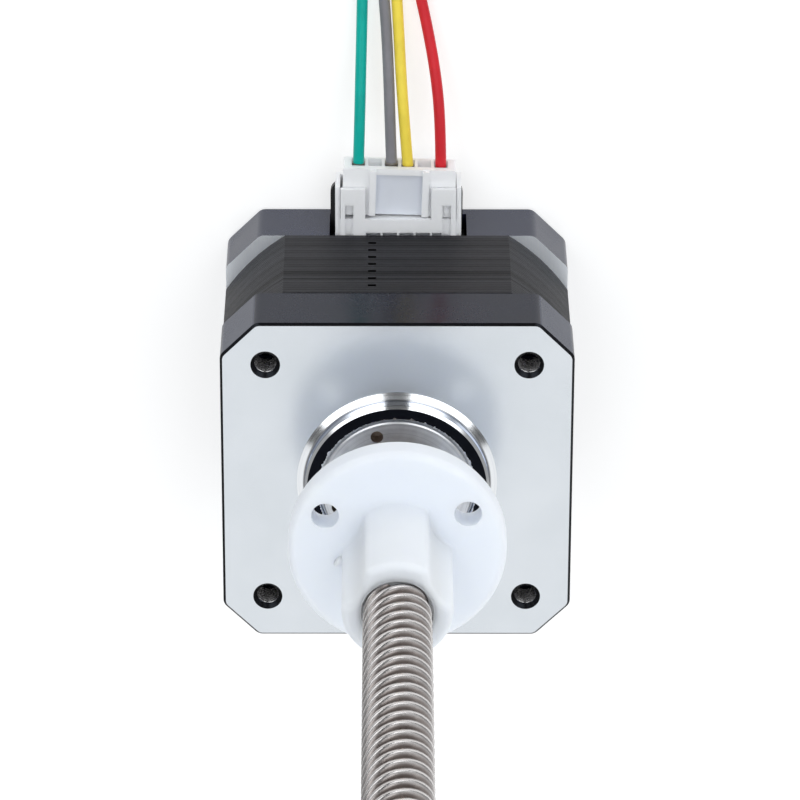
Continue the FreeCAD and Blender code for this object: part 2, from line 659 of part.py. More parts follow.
mouth = num("screw_crest") + num("thread_clear") + 0.05
low, high = num("nut_back"), num("nut_back") + num("nut_len")
lead_in = revolved([(0, low - 1), (mouth + 1, low - 1), (mouth - 0.9, low + 0.9), (0, low + 0.9)])
lead_out = revolved([(0, high + 1), (mouth + 1, high + 1), (mouth - 0.5, high - 0.5), (0, high - 0.5)])
sleeve = Part.makeCylinder(num("sleeve_radius"), num("nut_len"), Vector(0, 0, low))
feature("nut_thread", sleeve.cut(nut_form).cut([lead_in, lead_out]))

# ------------------------------------------------------------------ fasteners
screws = []
for i, j in CORNERS:
    x, y = hole_xy.v * i, hole_xy.v * j
    base = Vector(x, y, 0)
    zr, zs = z_rear.v, z_stack_front.v
    thread = num("clamp_hole_radius") - 0.02
    body = revolved([(0, zr + 0.2), (2.25, zr + 0.2), (2.5, zr + 0.45), (2.5, zr + 2.4), (1.22, zr + 2.4), (1.22, zs),
                     (thread, zs), (thread, -5.4), (thread - 0.3, -5.1), (0, -5.1)])
    body.translate(base)
    hexagon = Part.makePolygon([Vector(x + polar(1.2, 60 * k)[0], y + polar(1.2, 60 * k)[1], zr + 0.2) for k in range(7)])
    screws.append(body.cut(Part.Face(hexagon).extrude(Vector(0, 0, 1.3))))
feature("assembly_screws", Part.makeCompound(screws))

# ------------------------------------------------------------------ connector
# Header: open-topped box with a keying window and two slots in its front wall.
hx = S("conn_x")
b = new_body("connector_header")
s = new_sketch(b, "header_outline", height=S("header_back"))
box_lines(s, hx - S("header_half"), hx + S("header_half"), S("header_base"), S("header_top"))
pad(b, "header_block", s, S("header_front") - S("header_back"))
s = new_sketch(b, "header_well", "XZ_Plane", height=-S("header_top"))
box_lines(s, hx - 7.06, hx + 7.06, S("header_back") + 0.55, S("header_front") - 0.6)
pocket(b, "plug_well", s, S("header_top") - S("well_floor"), flip=True)
s = new_sketch(b, "header_front_cuts", height=S("header_front"))
box_lines(s, hx - S("header_half") - 1.0, hx - 7.0, S("header_base") - 1.0, S("header_top") + 1.0)
box_lines(s, hx + 7.0, hx + S("header_half") + 1.0, S("header_base") - 1.0, S("header_top") + 1.0)
pocket(b, "stepped_sides", s, 0.6)
s = new_sketch(b, "header_window", height=S("header_front"))
box_lines(s, hx - 4.0, hx + 4.0, 22.95, S("header_top") + 1.0)
box_lines(s, hx - 6.45, hx - 5.45, S("header_base") - 1.0, 24.8)
box_lines(s, hx + 5.35, hx + 6.4, S("header_base") - 1.0, 24.8)
pocket(b, "window_and_slots", s, 0.6)
s = new_sketch(b, "foot_gaps", height=S("header_front"))
for x0, x1 in ((-3.9, -2.15), (-1.9, -0.15), (0.12, 1.87), (2.12, 3.87), (4.12, 5.3)):
    box_lines(s, hx + x0, hx + x1, S("header_base") - 1.0, S("stack_half") + 0.32)
pocket(b, "standoff_gaps", s, 1.2)
s = new_sketch(b, "header_pin_holes", "XZ_Plane", height=-(S("header_base") - 0.5))
for i in range(6):
    xc = hx + S("pitch") * (i - 2.5)
    box_lines(s, xc - (S("pin_half") + 0.01), xc + (S("pin_half") + 0.01),
              S("pin_z") - (S("pin_half") + 0.01), S("pin_z") + (S("pin_half") + 0.01))
pocket(b, "pin_holes", s, 5.0)

pins = []
for i in range(6):
    xc = num("conn_x") + num("pitch") * (i - 2.5)
    ph = num("pin_half")
    pin = Part.makeBox(2 * ph, num("pin_tip") - 17.5, 2 * ph, Vector(xc - ph, 17.5, num("pin_z") - ph))
    pins.append(pin.makeChamfer(0.14, [e for e in pin.Edges if all(abs(v.Point.y - num("pin_tip")) < 1e-6 for v in e.Vertexes)]))
feature("header_pins", Part.makeCompound(pins))

# Plug: six through cavities, a front lip with two ribs and a recessed panel.
# It leans a little in the header, turning about the middle of its nose.
lean = Placement(Vector(0, 0, 0), Rotation(Vector(0, 0, 1), num("plug_tilt")), Vector(num("conn_x"), num("plug_bottom"), 0))
b = new_body("plug_housing")
s = new_sketch(b, "plug_outline", height=S("plug_back"))
box_lines(s, hx - S("plug_half"), hx + S("plug_half"), S("plug_bottom"), S("plug_end"))
pad(b, "plug_block", s, S("plug_front") - S("plug_back"))
s = new_sketch(b, "rib_lines", height=S("plug_front"))
box_lines(s, hx - 3.6, hx - 2.8, S("plug_bottom") + 0.15, S("plug_end") - 0.1)
box_lines(s, hx + 2.8, hx + 3.6, S("plug_bottom") + 0.15, S("plug_end") - 0.1)
pad(b, "plug_ribs", s, 0.5)
s = new_sketch(b, "panel", height=S("plug_front"))
box_lines(s, hx - 2.8, hx + 2.8, S("plug_bottom") - 1.0, S("plug_end") - 0.8)
pocket(b, "plug_panel", s, 0.45)
s = new_sketch(b, "plug_cavities", "XZ_Plane", height=-(S("plug_bottom") - 0.5))
for i in range(6):
    xc = hx + S("pitch") * (i - 2.5)
    box_lines(s, xc - 0.71, xc + 0.71, S("pin_z") - 0.8, S("pin_z") + 0.8)
pocket(b, "wire_cavities", s, 7.5)
s = new_sketch(b, "plug_mouths", "XZ_Plane", height=-S("plug_end"))
for i in range(6):
    xc = hx + S("pitch") * (i - 2.5)
    box_lines(s, xc - 0.82, xc + 0.82, S("pin_z") - 1.25, S("pin_z") + 0.95)
pocket(b, "cavity_mouths", s, 1.3, flip=True)
dressed(b, "Chamfer", "plug_edges", 0.18,
        lambda e: len(e.Vertexes) == 2 and all(abs(v.Point.y - num("plug_end")) < 1e-6 for v in e.Vertexes)
        and (all(abs(v.Point.z - num("plug_back")) < 1e-6 for v in e.Vertexes)
             or abs(e.Vertexes[0].Point.x - e.Vertexes[1].Point.x) < 1e-6
             and abs(abs(e.Vertexes[0].Point.x - num("conn_x")) - num("plug_half")) < 1e-6))
b.Placement = lean

# The crimps sit at slightly different depths.
terminals = []
for i, seat in ((0, -0.3), (2, -0.1), (3, -0.5), (5, -0.65)):
    xc, zc = num("conn_x") + num("pitch") * (i - 2.5), num("pin_z")
    box = Part.makeBox(1.24, 3.6, 1.3, Vector(xc - 0.62, 23.6, zc - 0.65)).cut(
        Part.makeBox(0.84, 3.4, 0.84, Vector(xc - 0.42, 23.6, zc - 0.42)))
    throat = Part.makeCylinder(0.5, 1.2, Vector(xc, 27.1, zc), Vector(0, 1, 0))
    barrel = Part.makeCylinder(0.69, 1.0 + seat, Vector(xc, 28.05, zc), Vector(0, 1, 0)).fuse(
        Part.makeCylinder(0.76, 0.85, Vector(xc, 28.75 + seat, zc), Vector(0, 1, 0)))
    terminals.append(box.fuse([throat, barrel]).removeSplitter())
feature("crimp_terminals", Part.makeCompound(terminals), lean)

# ---------------------------------------------------------------------- leads
# Each lead leaves the plug level, droops to the floor and runs to the coil.
d_lead = num("lead_dia")
ROUTES = {
    "lead_green": [(-4.677, 29.337, -27.4), (-4.53, 34.5, -27.55), (-4.41, 40.0, -29.1), (-4.26, 46.0, -31.3),
                   (-4.16, 52.5, -32.25), (-4.18, 60.3, -32.05), (-4.2, 68.0, -31.97)],
    "lead_grey": [(-0.674, 29.425, -27.4), (-0.85, 34.5, -27.55), (-1.02, 40.0, -29.1), (-1.34, 46.0, -31.3),
                  (-1.9, 52.5, -32.25), (-2.55, 58.5, -32.05), (-2.75, 64.3, -31.97)],
    "lead_yellow": [(1.314, 28.97, -27.4), (0.87, 34.5, -27.55), (0.46, 40.0, -29.1), (0.13, 46.0, -31.3),
                    (-0.28, 52.5, -32.25), (-1.05, 57.3, -32.1), (-1.3, 61.9, -31.97)],
    "lead_red": [(5.309, 28.708, -27.4), (5.23, 34.5, -27.55), (4.7, 40.0, -29.1), (3.54, 46.0, -31.3),
                 (2.01, 52.5, -32.25), (0.75, 56.4, -32.1), (0.15, 60.1, -31.97)],
}
COIL_RADIUS = {"lead_red": 14.35, "lead_yellow": 15.8, "lead_grey": 17.25, "lead_green": 18.7}


def rounded_path(points):
    """Straight runs joined by tangent arcs; returns edges, length and radii."""
    p = [Vector(*q) for q in points]
    edges, radii, start = [], [], p[0]
    for i in range(1, len(p) - 1):
        u, v = (p[i - 1] - p[i]), (p[i + 1] - p[i])
        lu, lv = u.Length, v.Length
        u.normalize()
        v.normalize()
        turn = math.pi - u.getAngle(v)
        cut = 0.45 * min(lu, lv)
        r = cut / math.tan(turn / 2)
        a, c = p[i] + u * cut, p[i] + v * cut
        bis = u + v
        bis.normalize()
        centre = p[i] + bis * (r / math.cos(turn / 2))
        m = centre - bis * r
        edges.append(Part.LineSegment(start, a).toShape())
        edges.append(Part.Arc(a, m, c).toShape())
        radii.append(r)
        start = c
    edges.append(Part.LineSegment(start, p[-1]).toShape())
    return edges, sum(e.Length for e in edges), radii


tips = []
for label, pts in ROUTES.items():
    edges, length, radii = rounded_path(pts)
    wire = Part.Wire(edges)
    first = edges[0].Curve.Direction
    section = Part.Wire([Part.Circle(Vector(*pts[0]), first, d_lead / 2).toShape()])
    tube = wire.makePipeShell([section], True, False)
    want = math.pi * d_lead * d_lead / 4 * length
    if abs(tube.Volume - want) > 0.01 * want:
        raise RuntimeError("%s has volume %.3f, not %.3f" % (label, tube.Volume, want))
    feature(label, tube)
    # the rest of the lead winds clockwise in the coil, from its -X side
    R = COIL_RADIUS[label]
    last = Vector(*pts[-1])
    into = num("coil_y") - last.y
    turns = (num("lead_len") - num("tin_len") - length - into) / (2 * math.pi * R)
    ang = math.pi - 2 * math.pi * turns
    zc = num("coil_z") + num("coil_rise") * turns
    end = Vector(num("coil_x") + R * math.cos(ang), num("coil_y") + R * math.sin(ang), zc)
    ahead = ang - num("tin_len") / (2 * R)
    way = Vector(math.sin(ahead), -math.cos(ahead), 0)
    tips.append(Part.makeCylinder(0.34, num("tin_len"), end, way))
    print(label, "tube %.2f mm, radii %s, coil turns %.3f, end %.2f %.2f %.2f"
          % (length, " ".join("%.1f" % r for r in radii), turns, end.x, end.y, end.z))
feature("tinned_ends", Part.makeCompound(tips))

b = new_body("lead_coil")
turned(b, "coil_ring", [
    (S("coil_in") + 0.5, S("coil_bottom")), (S("coil_out") - 0.5, S("coil_bottom")), (S("coil_out"), S("coil_bottom") + 0.5),
    (S("coil_out"), S("coil_top") - 0.5), (S("coil_out") - 0.5, S("coil_top")), (S("coil_in") + 0.5, S("coil_top")),
    (S("coil_in"), S("coil_top") - 0.5), (S("coil_in"), S("coil_bottom") + 0.5)])
b.Placement = Placement(Vector(num("coil_x"), num("coil_y"), 0), Rotation())

# Tie: a thin strap round the coil's section on its far side, with its head on top.
b = new_body("lead_tie")
s = new_sketch(b, "strap_loop", "YZ_Plane", height=-1.25)
box_lines(s, S("coil_in") - 0.42, S("coil_out") + 0.42, S("coil_bottom") - 0.35, S("coil_top") + 0.42)
box_lines(s, S("coil_in") - 0.07, S("coil_out") + 0.07, S("coil_bottom") - 0.02, S("coil_top") + 0.07)
pad(b, "strap", s, 2.5)
s = new_sketch(b, "tie_head_outline", "YZ_Plane", height=-2.0)
box_lines(s, S("coil_out") - 3.6, S("coil_out") + 0.3, S("coil_top") + 0.42, S("coil_top") + 2.6)
pad(b, "tie_head", s, 4.0)
dressed(b, "Fillet", "tie_head_edges", 0.4,
        lambda e: all(v.Point.z > num("coil_top") + 2.5 for v in e.Vertexes))
b.Placement = Placement(Vector(num("coil_x"), num("coil_y"), 0), Rotation())

# ---------------------------------------------------------------------- export
doc.recompute()
bad = [o.Name for o in doc.Objects if "Invalid" in o.State or "Error" in o.State]
if bad:
    raise RuntimeError("failed objects: " + ", ".join(bad))
for o in EXPORT:
    if o.Shape.isNull() or not o.Shape.isValid() or not o.Shape.Solids:
        raise RuntimeError("bad shape: " + o.Label)
os.makedirs("parts", exist_ok=True)
for o in EXPORT:
    o.Shape.exportStep("parts/%s.step" % o.Label)
print(len(EXPORT), "parts")
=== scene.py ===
import math
import bpy
import bmesh
from mathutils import Matrix, Vector


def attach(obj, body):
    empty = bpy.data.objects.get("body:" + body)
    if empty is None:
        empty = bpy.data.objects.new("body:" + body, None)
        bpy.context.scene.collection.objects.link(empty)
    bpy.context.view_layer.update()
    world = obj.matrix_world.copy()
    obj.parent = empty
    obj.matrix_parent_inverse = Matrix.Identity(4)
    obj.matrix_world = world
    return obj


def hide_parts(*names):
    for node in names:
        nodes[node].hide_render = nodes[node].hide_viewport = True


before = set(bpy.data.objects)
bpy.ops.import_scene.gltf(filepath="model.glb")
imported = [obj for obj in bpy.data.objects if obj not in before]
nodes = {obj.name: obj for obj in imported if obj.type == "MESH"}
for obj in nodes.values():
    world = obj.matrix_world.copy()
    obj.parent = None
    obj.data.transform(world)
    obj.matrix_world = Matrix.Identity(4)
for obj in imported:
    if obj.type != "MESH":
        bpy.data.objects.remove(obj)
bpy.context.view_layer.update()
MM = 0.001
scene = bpy.context.scene
scene.view_settings.view_transform = "Standard"
scene.view_settings.look = "None"
scene.view_settings.exposure = 0.0
scene.view_settings.gamma = 1.0

# ---------------------------------------------------------------- the camera
# Looks down on the mounting face from the connector's side, a long way off.
def make_camera():
    tilt, roll, yaw = math.radians(26.649), math.radians(0.064), math.radians(-0.182)
    right = Vector((1, 0, 0))
    up = Vector((0, math.cos(tilt), -math.sin(tilt)))
    back = Vector((0, math.sin(tilt), math.cos(tilt)))
    right2 = right * math.cos(yaw) - back * math.sin(yaw)
    back2 = back * math.cos(yaw) + right * math.sin(yaw)
    r = right2 * math.cos(roll) + up * math.sin(roll)
    u = up * math.cos(roll) - right2 * math.sin(roll)
    place = back2 * 567.0 + r * 0.363 + u * 9.747
    cam = bpy.data.cameras.new("camera")
    cam.sensor_width = 36.0
    cam.lens = 4770.4 / 800.0 * 36.0
    cam.clip_start, cam.clip_end = 0.05, 20.0
    ob = bpy.data.objects.new("camera", cam)
    m = Matrix((r, u, back2)).transposed().to_4x4()
    m.translation = place * MM
    ob.matrix_world = m
    scene.collection.objects.link(ob)
    scene.camera = ob


make_camera()


# ------------------------------------------------------------- node shorthand
class Tree:
    """Builds shader nodes with plain calls; a and b may be numbers or sockets."""

    def __init__(self, tree):
        self.t = tree
        self.n = tree.nodes
        self.l = tree.links

    def put(self, socket, value):
        if hasattr(value, "is_output"):
            self.l.new(value, socket)
        else:
            socket.default_value = value

    def math(self, op, a, b=0.0, c=0.0, clamp=False):
        k = self.n.new("ShaderNodeMath")
        k.operation = op
        k.use_clamp = clamp
        for s, v in zip(k.inputs, (a, b, c)):
            self.put(s, v)
        return k.outputs[0]

    def step(self, x, lo, hi):
        """0 below lo, 1 above hi, smooth between."""
        k = self.n.new("ShaderNodeMapRange")
        k.interpolation_type = "SMOOTHSTEP"
        self.put(k.inputs["Value"], x)
        k.inputs["From Min"].default_value = lo
        k.inputs["From Max"].default_value = hi
        return k.outputs["Result"]

    def span(self, x, a, b, c, d):
        """Linear map of a..b onto c..d, held at its ends."""
        k = self.n.new("ShaderNodeMapRange")
        self.put(k.inputs["Value"], x)
        for s, v in zip(("From Min", "From Max", "To Min", "To Max"), (a, b, c, d)):
            self.put(k.inputs[s], v)
        return k.outputs["Result"]

    def coord(self):
        k = self.n.new("ShaderNodeTexCoord")
        return k.outputs["Object"]

    def xyz(self, v):
        k = self.n.new("ShaderNodeSeparateXYZ")
        self.put(k.inputs[0], v)
        return k.outputs[0], k.outputs[1], k.outputs[2]

    def vec(self, x, y, z):
        k = self.n.new("ShaderNodeCombineXYZ")
        for s, v in zip(k.inputs, (x, y, z)):
            self.put(s, v)
        return k.outputs[0]

    def normal(self):
        return self.n.new("ShaderNodeNewGeometry").outputs["Normal"]

    def noise(self, where, scale, detail=3.0, rough=0.5):
        k = self.n.new("ShaderNodeTexNoise")
        self.put(k.inputs["Vector"], where)
        k.inputs["Scale"].default_value = scale
        k.inputs["Detail"].default_value = detail
        k.inputs["Roughness"].default_value = rough
        return k.outputs["Fac"]

    def stretch(self, where, sx, sy, sz):
        k = self.n.new("ShaderNodeVectorMath")
        k.operation = "MULTIPLY"
        self.put(k.inputs[0], where)
        k.inputs[1].default_value = (sx, sy, sz)
        return k.outputs[0]

    def mix(self, f, a, b):
        k = self.n.new("ShaderNodeMix")
        k.data_type = "RGBA"
        self.put(k.inputs["Factor"], f)
        for name, v in (("A", a), ("B", b)):
            s = [i for i in k.inputs if i.name == name and i.type == "RGBA"][0]
            self.put(s, v if hasattr(v, "is_output") else (v[0], v[1], v[2], 1.0))
        return [o for o in k.outputs if o.type == "RGBA"][0]

    def lerp(self, f, a, b):
        return self.span(f, 0.0, 1.0, a, b)

    def bump(self, height, dist, strength=1.0, base=None):
        k = self.n.new("ShaderNodeBump")
        k.inputs["Strength"].default_value = strength
        k.inputs["Distance"].default_value = dist
        self.put(k.inputs["Height"], height)
        if base is not None:
            self.put(k.inputs["Normal"], base)
        return k.outputs["Normal"]


def material(name, **fixed):
    m = bpy.data.materials.new(name)
    m.use_nodes = True
    t = Tree(m.node_tree)
    b = m.node_tree.nodes["Principled BSDF"]
    for key, v in fixed.items():
        b.inputs[key.replace("_", " ")].default_value = v
    return m, t, b


def band(t, v, lo, hi, soft):
    """1 between lo and hi, 0 outside."""
    return t.math("MULTIPLY", t.step(v, lo - soft, lo + soft), t.math("SUBTRACT", 1.0, t.step(v, hi - soft, hi + soft)))


# ---------------------------------------------------------------------- light
# A light tent: two bright panels overhead with a dark gap between them, plainer
# panels before, behind and to the right, a narrow gap across, and dim walls.
def make_world():
    w = bpy.data.worlds.new("tent")
    w.use_nodes = True
    t = Tree(w.node_tree)
    bg = w.node_tree.nodes["Background"]
    k = t.n.new("ShaderNodeTexCoord")
    x, y, z = t.xyz(k.outputs["Generated"])
    zz = t.math("MAXIMUM", z, 0.05)
    ax = t.math("ABSOLUTE", x)
    xz = t.math("DIVIDE", ax, zz)
    yz = t.math("DIVIDE", y, zz)
    off = lambda v: t.math("SUBTRACT", 1.0, v)
    times = lambda u, v: t.math("MULTIPLY", u, v)
    edge = t.math("SUBTRACT", ax, times(t.math("MAXIMUM", y, 0.0), 0.12))
    gap = times(off(t.step(edge, 0.066, 0.08)), t.step(y, -0.2, -0.1))
    near = times(t.step(yz, -0.115, -0.085), off(t.step(yz, 0.55, 0.8)))
    near = times(near, off(t.step(xz, 0.55, 0.75)))
    front = times(t.step(yz, 0.95, 1.25), off(t.step(xz, 2.2, 3.2)))
    reach = t.math("DIVIDE", ax, t.math("MULTIPLY_ADD", t.math("MAXIMUM", times(y, -1.0), 0.0), 0.8, zz))
    far = times(off(t.step(yz, -0.28, -0.24)), off(t.step(reach, 1.1, 1.7)))
    slot = times(times(t.step(yz, -0.28, -0.24), off(t.step(yz, -0.115, -0.085))), off(t.step(xz, 0.7, 0.9)))
    level = t.math("ADD", WALL, times(near, NEAR - WALL))
    level = t.math("ADD", level, times(far, FAR - WALL))
    level = t.math("ADD", level, times(front, FRONT - WALL))
    right = t.math("DIVIDE", x, zz)
    side = times(times(t.step(right, 0.85, 1.05), off(t.step(right, 2.0, 2.5))), band(t, yz, -0.6, 0.75, 0.1))
    level = t.math("ADD", level, times(side, SIDE - WALL))
    level = t.math("ADD", times(level, off(gap)), times(gap, GAP))
    level = times(level, off(times(slot, 0.7)))
    t.put(bg.inputs["Strength"], level)
    bg.inputs["Color"].default_value = (0.955, 0.98, 1.0, 1.0)
    scene.world = w


NEAR, FAR, FRONT, WALL, GAP, SIDE = 2.45, 0.95, 2.05, 0.36, 0.13, 1.0
make_world()


def make_floor():
    bm = bmesh.new()
    bmesh.ops.create_grid(bm, x_segments=1, y_segments=1, size=2.5)
    me = bpy.data.meshes.new("floor")
    bm.to_mesh(me)
    bm.free()
    o = bpy.data.objects.new("floor", me)
    o.location = (0, 0, -33.0 * MM)
    scene.collection.objects.link(o)
    m, t, b = material("floor_with_painted_shade", Roughness=0.9, Specular_IOR_Level=0.0, Emission_Color=(1, 1, 1, 1))
    x, y, z = t.xyz(t.coord())
    # Painted shade: left of x = -45 mm the floor's colour and glow fall off, a dark patch for the screw's left side to
    # reflect.
    painted_light_pool = t.step(x, -0.21, -0.045)
    t.put(b.inputs["Base Color"], t.mix(painted_light_pool, (0.33, 0.33, 0.33), (0.5, 0.5, 0.5)))
    t.put(b.inputs["Emission Strength"], t.lerp(painted_light_pool, 0.1, 0.62))
    me.materials.append(m)


make_floor()


# ------------------------------------------------------------------ materials
def radius_of(t, x, y):
    return t.math("SQRT", t.math("ADD", t.math("MULTIPLY", x, x), t.math("MULTIPLY", y, y)))


def coat_parts(t, low, high):
    """Colour, roughness and height of the satin black coat on the castings."""
    c = t.coord()
    fine = t.noise(c, 5200.0, 4.0, 0.6)
    broad = t.noise(c, 160.0, 3.0, 0.5)
    colour = t.mix(t.span(broad, 0.3, 0.7, 0, 1), low, high)
    rough = t.math("ADD", t.span(broad, 0.3, 0.7, 0.22, 0.29), t.span(fine, 0.3, 0.7, -0.03, 0.03))
    return c, fine, colour, rough


def cap_front():
    """Black coat, bare frosted mounting face and a bright turned boss; painted shade lines on the boss and a painted
    highlight on the corner chamfers.
    """
    m, t, b = material("front_cap_finish", Specular_IOR_Level=0.2, Specular_Tint=(0.74, 0.82, 1.0, 1.0))
    c, fine, colour, rough = coat_parts(t, (0.0036, 0.0042, 0.0125), (0.0062, 0.0073, 0.0185))
    x, y, z = t.xyz(c)
    r = radius_of(t, x, y)
    nz = t.xyz(t.normal())[2]
    flat = t.step(nz, 0.9, 0.97)
    # bare face: flat, level with z = 0, outside the boss
    face = t.math("MULTIPLY", flat, band(t, z, -4e-6, 6e-5, 3e-6))
    grain = t.noise(t.stretch(c, 1.0, 1.0, 1.0), 9000.0, 2.0, 0.7)
    cloud = t.noise(c, 95.0, 4.0, 0.55)
    # boss: everything above the face, with fine turning marks
    boss = t.math("MULTIPLY", t.step(z, 3e-5, 6e-5), t.math("GREATER_THAN", r, 9.3e-3))
    rings = t.noise(t.vec(t.math("MULTIPLY", r, 1.0), t.math("MULTIPLY", z, 1.0), 0.0), 11000.0, 2.0, 0.6)
    # Painted shade: a dark band low on the boss where a turned groove would hold shade.
    painted_groove_shade = t.math("MULTIPLY", t.step(z, 2.6e-4, 3.0e-4), t.math("SUBTRACT", 1.0, t.step(z, 4.2e-4, 4.8e-4)))
    bare = t.math("MAXIMUM", face, boss)
    silver = t.mix(t.span(cloud, 0.3, 0.7, 0, 1), (0.755, 0.785, 0.815), (0.815, 0.84, 0.87))
    bright = t.mix(t.span(rings, 0.35, 0.65, 0, 1), (0.84, 0.85, 0.87), (0.93, 0.935, 0.94))
    bright = t.mix(t.math("MULTIPLY", painted_groove_shade, 0.55), bright, (0.25, 0.255, 0.27))
    # Painted shade: a dark line on the boss just below its rim.
    edge = band(t, z, 1.585e-3, 1.7e-3, 2e-5)
    bright = t.mix(t.math("MULTIPLY", edge, 0.6), bright, (0.28, 0.285, 0.3))
    nx, ny, _ = t.xyz(t.normal())
    # Painted highlight: the coat turns a lighter blue on the diagonal corner chamfers.
    corner_painted_highlight = t.math("MULTIPLY", t.step(t.math("ABSOLUTE", nx), 0.45, 0.6), t.step(t.math("ABSOLUTE", ny), 0.45, 0.6))
    colour = t.mix(corner_painted_highlight, colour, (0.036, 0.041, 0.066))
    broken = band(t, nz, 0.3, 0.9, 0.05)
    colour = t.mix(broken, colour, (0.0035, 0.0032, 0.0034))
    col = t.mix(face, colour, silver)
    col = t.mix(boss, col, bright)
    t.put(b.inputs["Base Color"], col)
    t.put(b.inputs["Metallic"], bare)
    rg = t.lerp(face, rough, t.span(grain, 0.3, 0.7, 0.17, 0.27))
    rg = t.lerp(boss, rg, t.span(rings, 0.3, 0.7, 0.07, 0.15))
    t.put(b.inputs["Roughness"], rg)
    h = t.lerp(face, t.math("MULTIPLY", fine, 0.45), t.math("MULTIPLY", grain, 0.7))
    h = t.lerp(boss, h, t.math("MULTIPLY", rings, 0.5))
    t.put(b.inputs["Normal"], t.bump(h, 4e-6, 0.55))
    return m


def cap_rear():
    """Black coat with a bare machined joint face towards the stack."""
    m, t, b = material("rear_cap_finish", Specular_IOR_Level=0.4, Specular_Tint=(0.78, 0.85, 1.0, 1.0))
    c, fine, colour, rough = coat_parts(t, (0.0085, 0.0105, 0.029), (0.012, 0.0145, 0.0385))
    x, y, z = t.xyz(c)
    nz = t.xyz(t.normal())[2]
    bare = t.math("MULTIPLY", t.step(nz, 0.9, 0.97), band(t, z, -24.705e-3, -24.6e-3, 2e-6))
    arcs = t.noise(t.stretch(c, 1.0, 0.06, 1.0), 7000.0, 2.0, 0.6)
    t.put(b.inputs["Base Color"], t.mix(bare, colour, t.mix(arcs, (0.86, 0.89, 0.95), (0.97, 0.99, 1.0))))
    t.put(b.inputs["Metallic"], bare)
    t.put(b.inputs["Roughness"], t.lerp(bare, rough, 0.46))
    t.put(b.inputs["Normal"], t.bump(t.lerp(bare, t.math("MULTIPLY", fine, 0.5), arcs), 4e-6, 0.5))
    return m


def laminated(name, dark, light, spec):
    """Stacked 0.5 mm sheets: each sheet its own tone, a fine burr line between."""
    m, t, b = material(name, Specular_IOR_Level=spec)
    c = t.coord()
    x, y, z = t.xyz(c)
    wob = t.math("MULTIPLY_ADD", t.noise(t.stretch(c, 1, 1, 0.2), 420.0, 4.0, 0.7), 1.8e-4, -0.9e-4)
    layer = t.math("DIVIDE", t.math("ADD", z, wob), 5e-4)
    frac = t.math("FRACT", layer)
    line = t.math("SUBTRACT", 1.0, t.step(t.math("ABSOLUTE", t.math("SUBTRACT", frac, 0.5)), 0.06, 0.17))
    sheet = t.span(t.noise(t.vec(0.0, 0.0, t.math("FLOOR", layer)), 3.7, 0.0, 0.5), 0.32, 0.68, 0, 1)
    streak = t.noise(t.stretch(c, 1, 1, 9.0), 820.0, 4.0, 0.7)
    tone = t.math("ADD", t.math("MULTIPLY", sheet, 0.4), t.math("MULTIPLY", streak, 0.6))
    col = t.mix(t.span(tone, 0.3, 0.7, 0, 1), dark, light)
    col = t.mix(t.math("MULTIPLY", line, 0.95), col, (0.0012, 0.0012, 0.0014))
    t.put(b.inputs["Base Color"], col)
    b.inputs["Metallic"].default_value = 0.35
    t.put(b.inputs["Roughness"], t.span(streak, 0.3, 0.7, 0.4, 0.58))
    h = t.math("SUBTRACT", t.math("MULTIPLY", tone, 0.6), t.math("MULTIPLY", line, 0.8))
    t.put(b.inputs["Normal"], t.bump(h, 3e-5, 0.7))
    return m


def turned_metal(name, colour, rough, pitch=9000.0, depth=2.5e-6, centre=(0.0, 0.0)):
    """Bare metal with concentric tool marks about the screw's axis."""
    m, t, b = material(name, Metallic=1.0)
    c = t.coord()
    x, y, z = t.xyz(c)
    r = radius_of(t, x, y)
    marks = t.noise(t.vec(r, t.math("MULTIPLY", z, 0.7), 0.0), pitch, 2.0, 0.6)
    cloud = t.noise(c, 420.0, 4.0, 0.6)
    low = tuple(v * 0.8 for v in colour)
    t.put(b.inputs["Base Color"], t.mix(t.span(t.math("ADD", t.math("MULTIPLY", marks, 0.5), t.math("MULTIPLY", cloud, 0.5)), 0.35, 0.65, 0, 1), low, colour))
    t.put(b.inputs["Roughness"], t.math("ADD", t.span(marks, 0.3, 0.7, rough - 0.05, rough + 0.05), t.span(cloud, 0.3, 0.7, -0.03, 0.05)))
    t.put(b.inputs["Normal"], t.bump(marks, depth, 0.6))
    return m


def grainy_metal(name, colour, rough, scale=2600.0, metallic=1.0):
    """Plain metal with a fine grain and slight uneven tarnish."""
    m, t, b = material(name, Metallic=metallic)
    c = t.coord()
    g = t.noise(c, scale, 3.0, 0.6)
    cloud = t.noise(c, scale * 0.09, 3.0, 0.5)
    t.put(b.inputs["Base Color"], t.mix(t.span(cloud, 0.3, 0.7, 0, 1), tuple(v * 0.78 for v in colour), colour))
    t.put(b.inputs["Roughness"], t.span(g, 0.25, 0.75, rough - 0.06, rough + 0.08))
    t.put(b.inputs["Normal"], t.bump(g, 3e-6, 0.5))
    return m


def wound(name, colour):
    """Enamelled wire laid in turns round each pole."""
    m, t, b = material(name, Metallic=0.85, Coat_Weight=0.4, Coat_Roughness=0.2)
    c = t.coord()
    x, y, z = t.xyz(c)
    r = radius_of(t, x, y)
    wire_ridges_and_painted_shade = t.math("SINE", t.math("MULTIPLY", r, 2 * math.pi / 3.2e-4))
    rough = t.noise(c, 2400.0, 2.0, 0.5)
    # Painted shade: the copper darkens to 45 % in the valleys between turns, in step with the bump.
    t.put(b.inputs["Base Color"], t.mix(t.span(wire_ridges_and_painted_shade, -1, 1, 0, 1), tuple(v * 0.45 for v in colour), colour))
    t.put(b.inputs["Roughness"], t.span(rough, 0.3, 0.7, 0.28, 0.42))
    t.put(b.inputs["Normal"], t.bump(wire_ridges_and_painted_shade, 6e-5, 0.8))
    return m


